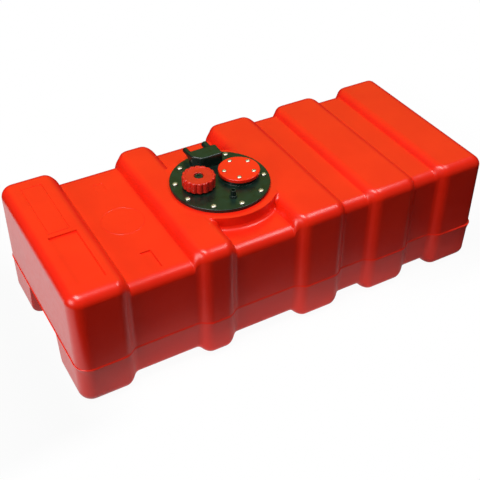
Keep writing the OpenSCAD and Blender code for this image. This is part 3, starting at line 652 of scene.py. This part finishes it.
for x, r, z in block["tails"]:
    tail = bmesh.new()
    end = block["tailEnd"] - block["tailFrom"]
    collar = r + block["collar"]
    line = [(0, -4), (collar, -4), (collar, 0), (r + 0.7, 3), (r + 0.2, 6), (r, 8), (r, end - 1.2), (r - 0.4, end - 0.4),
            (r - 1.0, end), (block["bore"], end), (block["bore"], 4), (0, 4)]
    turned(tail, line, (0, 0), 40)
    bmesh.ops.rotate(tail, cent=(0, 0, 0), matrix=Matrix.Rotation(-pi / 2, 3, "X"), verts=tail.verts)
    bmesh.ops.translate(tail, vec=(seat["x"] + x, seat["y"] + block["tailFrom"], z), verts=tail.verts)
    tailMesh = bpy.data.meshes.new("tail")
    tail.to_mesh(tailMesh)
    tail.free()
    bm.from_mesh(tailMesh)
    bpy.data.meshes.remove(tailMesh)
forkPiece = newPiece("fuelConnector", bm, nylonBlack, "tank", "fuel_connector", soften=False)
grow = forkPiece.modifiers.new("oneSkin", "REMESH")
grow.mode, grow.voxel_size, grow.use_smooth_shade = "VOXEL", block["voxel"] * mm, True
relax = forkPiece.modifiers.new("relax", "SMOOTH")
relax.factor, relax.iterations = 0.5, 5

# the breather: a short nipple on a six sided flange
nipple = {"x": -63.25, "y": -65, "r": 4.8, "bore": 3.2, "flange": 7, "flangeLow": 238.1, "flangeTop": 240.6,
          "top": 251.6, "low": 226.6}
bm = bmesh.new()
r, bore, flange = nipple["r"], nipple["bore"], nipple["flange"]
under, over = nipple["flangeLow"], nipple["flangeTop"]
spout = [(bore, nipple["low"]), (r, nipple["low"]), (r, under), (flange - 0.2, under, 1), (flange, under + 0.2, 1),
         (flange, over - 0.4, 1), (flange - 0.4, over, 1)]
spout += rounded([(r + 1, over, 0), (r, over, 0.6), (r, nipple["top"], 0.7), (bore, nipple["top"], 0.5),
                  (bore, nipple["low"] + 1, 0)])
turned(bm, spout, (nipple["x"], nipple["y"]), 48, hexShape, loop=True)
newPiece("breatherNipple", bm, nylonBlack, "tank", "breather_nipple")
print("connector and breather made")

# pieces kept from the construction get the same finishes
kept = [(brass, ("threaded_inserts", "connector_nuts", "pickup_strainer")), (stainless, ("pickup_tube", "return_tube")),
        (nitrile, ("hatch_gasket", "cap_gasket", "vent_seal", "sender_gasket", "connector_gasket", "breather_seal"))]
for finish, names in kept:
    for name in names:
        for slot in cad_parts[name].material_slots:
            slot.material = finish

# the floor is a sheet, in metres, that ends a little in front of the tank
# the camera sees it nearly white, with the shadow kept beside the tank
sheet = {"left": -1.2, "right": 0.8, "front": -0.262, "back": 0.5, "under": 0.0006, "seenWhite": 0.955,
         # x of each stop, as a share of the way from -1 to 1, with how pale the sheet is there for bounced light: the
         # darker stops at the left and right are painted shade
         "paleWithPaintedShade": [(0.29, 0.06), (0.35, 0.95), (0.58, 0.95), (0.7, 0.5)],
         # the same for the painted reflection, a brightness that only the gloss sees, and the y between which that
         # begins
         "paintedReflection": [(0.1, 0.0), (0.18, 1.15), (0.275, 1.05), (0.31, 0.7), (0.36, 0.42), (0.62, 0.32), (0.74, 0.0)],
         "paintedReflectionY": (-0.258, -0.232),
         # where the shadow starts and ends its fade
         "fades": (("X", -0.45, -0.8), ("X", 0.45, 0.75), ("Y", 0.2, 0.48), ("Y", -0.2, -0.258))}
floorMesh = bpy.data.meshes.new("floorSheet")
floorPlan = ((sheet["left"], sheet["front"]), (sheet["right"], sheet["front"]), (sheet["right"], sheet["back"]),
             (sheet["left"], sheet["back"]))
floorMesh.from_pydata([(x, y, -sheet["under"]) for x, y in floorPlan], [], [(0, 1, 2, 3)])
floorPiece = bpy.data.objects.new("floorSheet", floorMesh)
bpy.context.scene.collection.objects.link(floorPiece)
# paper, rolled matt: to bounced light it is white in the middle and darker towards both ends, which is painted shade,
# and in the gloss it shows only a painted reflection
paper = bpy.data.materials.new("mattPaper")
paper.use_nodes = True
tree = paper.node_tree
tree.nodes.clear()
path = addNode(tree, "ShaderNodeLightPath")
spot = addNode(tree, "ShaderNodeSeparateXYZ", None, {0: addNode(tree, "ShaderNodeTexCoord").outputs["Object"]})
along = addNode(tree, "ShaderNodeMapRange", {"From Min": -1.0, "From Max": 1.0}, {"Value": spot.outputs["X"]})
ramps = {}
for name in ("paleWithPaintedShade", "paintedReflection"):
    ramps[name] = addNode(tree, "ShaderNodeValToRGB", None, {"Fac": along.outputs["Result"]})
    stops = ramps[name].color_ramp.elements
    while len(stops) < len(sheet[name]):
        stops.new(0.5)
    for stop, (at, level) in zip(stops, sheet[name]):
        stop.position, stop.color = at, (level, level, level, 1)
# the gloss sees none of the matt white here, only the painted reflection
plain = addNode(tree, "ShaderNodeMath", {0: 1.0}, {1: path.outputs["Is Glossy Ray"]}, operation="SUBTRACT")
tint = addNode(tree, "ShaderNodeMath", None, {0: ramps["paleWithPaintedShade"].outputs["Color"], 1: plain.outputs[0]},
               operation="MULTIPLY")
matt = addNode(tree, "ShaderNodeBsdfDiffuse", None, {"Color": tint.outputs[0]})
white = addNode(tree, "ShaderNodeEmission", {"Color": (1, 1, 1, 1), "Strength": 1.0})
# the shadow fades to plain white towards the edges of the sheet
ways = [addNode(tree, "ShaderNodeMapRange", {"From Min": a, "From Max": b, "To Min": sheet["seenWhite"]},
                {"Value": spot.outputs[axis]}).outputs["Result"] for axis, a, b in sheet["fades"]]
share = ways[0]
for way in ways[1:]:
    share = addNode(tree, "ShaderNodeMath", None, {0: share, 1: way}, operation="MAXIMUM").outputs[0]
share = addNode(tree, "ShaderNodeMath", None, {0: share, 1: path.outputs["Is Camera Ray"]}, operation="MULTIPLY")
blend = addNode(tree, "ShaderNodeMixShader", None, {0: share.outputs[0], 1: matt.outputs[0], 2: white.outputs[0]})
# painted reflection: in the gloss the sheet glows with a brightness of its own, most of all just past the left end
near = addNode(tree, "ShaderNodeMapRange", {"From Min": sheet["paintedReflectionY"][0], "From Max": sheet["paintedReflectionY"][1]},
               {"Value": spot.outputs["Y"]})
glow = addNode(tree, "ShaderNodeMath", None, {0: ramps["paintedReflection"].outputs["Color"], 1: near.outputs["Result"]},
               operation="MULTIPLY")
glow = addNode(tree, "ShaderNodeMath", None, {0: glow.outputs[0], 1: path.outputs["Is Glossy Ray"]}, operation="MULTIPLY")
paintedReflection = addNode(tree, "ShaderNodeEmission", {"Color": (1, 1, 1, 1)}, {"Strength": glow.outputs[0]})
whole = addNode(tree, "ShaderNodeAddShader", None, {0: blend.outputs[0], 1: paintedReflection.outputs[0]})
addNode(tree, "ShaderNodeOutputMaterial", None, {"Surface": whole.outputs[0]})
floorMesh.materials.append(paper)

# soft studio light in a dim room: a box high up at the left, a weak one overhead to the right and a low one at the left
# places and sizes are in metres
lamps = {"highLeft": {"place": (-0.7, -0.3, 2.2), "aim": (-0.1, 0, 0.1), "size": (0.95, 0.85), "power": 36.5},
         "overhead": {"place": (0.8, -0.3, 1.9), "aim": (0.1, 0, 0.1), "size": (1.1, 0.36), "power": 12},
         "lowLeft": {"place": (-1.87, -0.36, 0.75), "aim": (-0.1, 0, 0.1), "size": (0.8, 0.8), "power": 13}}
for name, lamp in lamps.items():
    data = bpy.data.lights.new(name, "AREA")
    data.shape, data.energy = "RECTANGLE", lamp["power"]
    data.size, data.size_y = lamp["size"]
    light = bpy.data.objects.new(name, data)
    light.location = lamp["place"]
    light.rotation_euler = (Vector(lamp["aim"]) - Vector(lamp["place"])).to_track_quat("-Z", "Y").to_euler()
    bpy.context.scene.collection.objects.link(light)
# how bright the room is above and below, and a pale green glow that only the gloss sees, a painted reflection of a
# wall: the ways in which it comes up
studio = {"above": 0.06, "below": 0.012, "horizon": 0.05, "wall": "#96B050", "paintedReflectionLevel": 1.15,
          "wallX": (-0.5, -0.1), "wallY": (0.15, 0.45), "wallZ": (0.25, 0.4)}
room = bpy.data.worlds.new("studio")
bpy.context.scene.world = room
room.use_nodes = True
tree = room.node_tree
tree.nodes.clear()
path = addNode(tree, "ShaderNodeLightPath")
look = addNode(tree, "ShaderNodeSeparateXYZ", None, {0: addNode(tree, "ShaderNodeTexCoord").outputs["Generated"]})
level = addNode(tree, "ShaderNodeMapRange", {"From Min": -studio["horizon"], "From Max": studio["horizon"],
                                             "To Min": studio["below"], "To Max": studio["above"]},
                {"Value": look.outputs["Z"]})
dim = addNode(tree, "ShaderNodeBackground", {"Color": (1, 1, 1, 1)}, {"Strength": level.outputs["Result"]})
white = addNode(tree, "ShaderNodeBackground", {"Color": (1, 1, 1, 1), "Strength": 1.0})
# painted reflection: only glossy rays going these ways see a pale green glow, so the flat tops mirror it and the
# rounded edges don't
paintedReflectionMask = path.outputs["Is Glossy Ray"]
for axis in "XYZ":
    low, high = studio["wall" + axis]
    inside = addNode(tree, "ShaderNodeMapRange", {"From Min": low, "From Max": high}, {"Value": look.outputs[axis]})
    paintedReflectionMask = addNode(tree, "ShaderNodeMath", None, {0: paintedReflectionMask, 1: inside.outputs["Result"]},
                       operation="MULTIPLY").outputs[0]
wall = addNode(tree, "ShaderNodeBackground", {"Color": hexColour(studio["wall"]), "Strength": studio["paintedReflectionLevel"]})
dim = addNode(tree, "ShaderNodeMixShader", None, {0: paintedReflectionMask, 1: dim.outputs[0], 2: wall.outputs[0]})
seen = addNode(tree, "ShaderNodeMath", None, {0: path.outputs["Is Camera Ray"], 1: path.outputs["Is Transmission Ray"]},
               operation="MAXIMUM")
blend = addNode(tree, "ShaderNodeMixShader", None, {0: seen.outputs[0], 1: dim.outputs[0], 2: white.outputs[0]})
addNode(tree, "ShaderNodeOutputWorld", None, {"Surface": blend.outputs[0]})
print("floor and lights set")
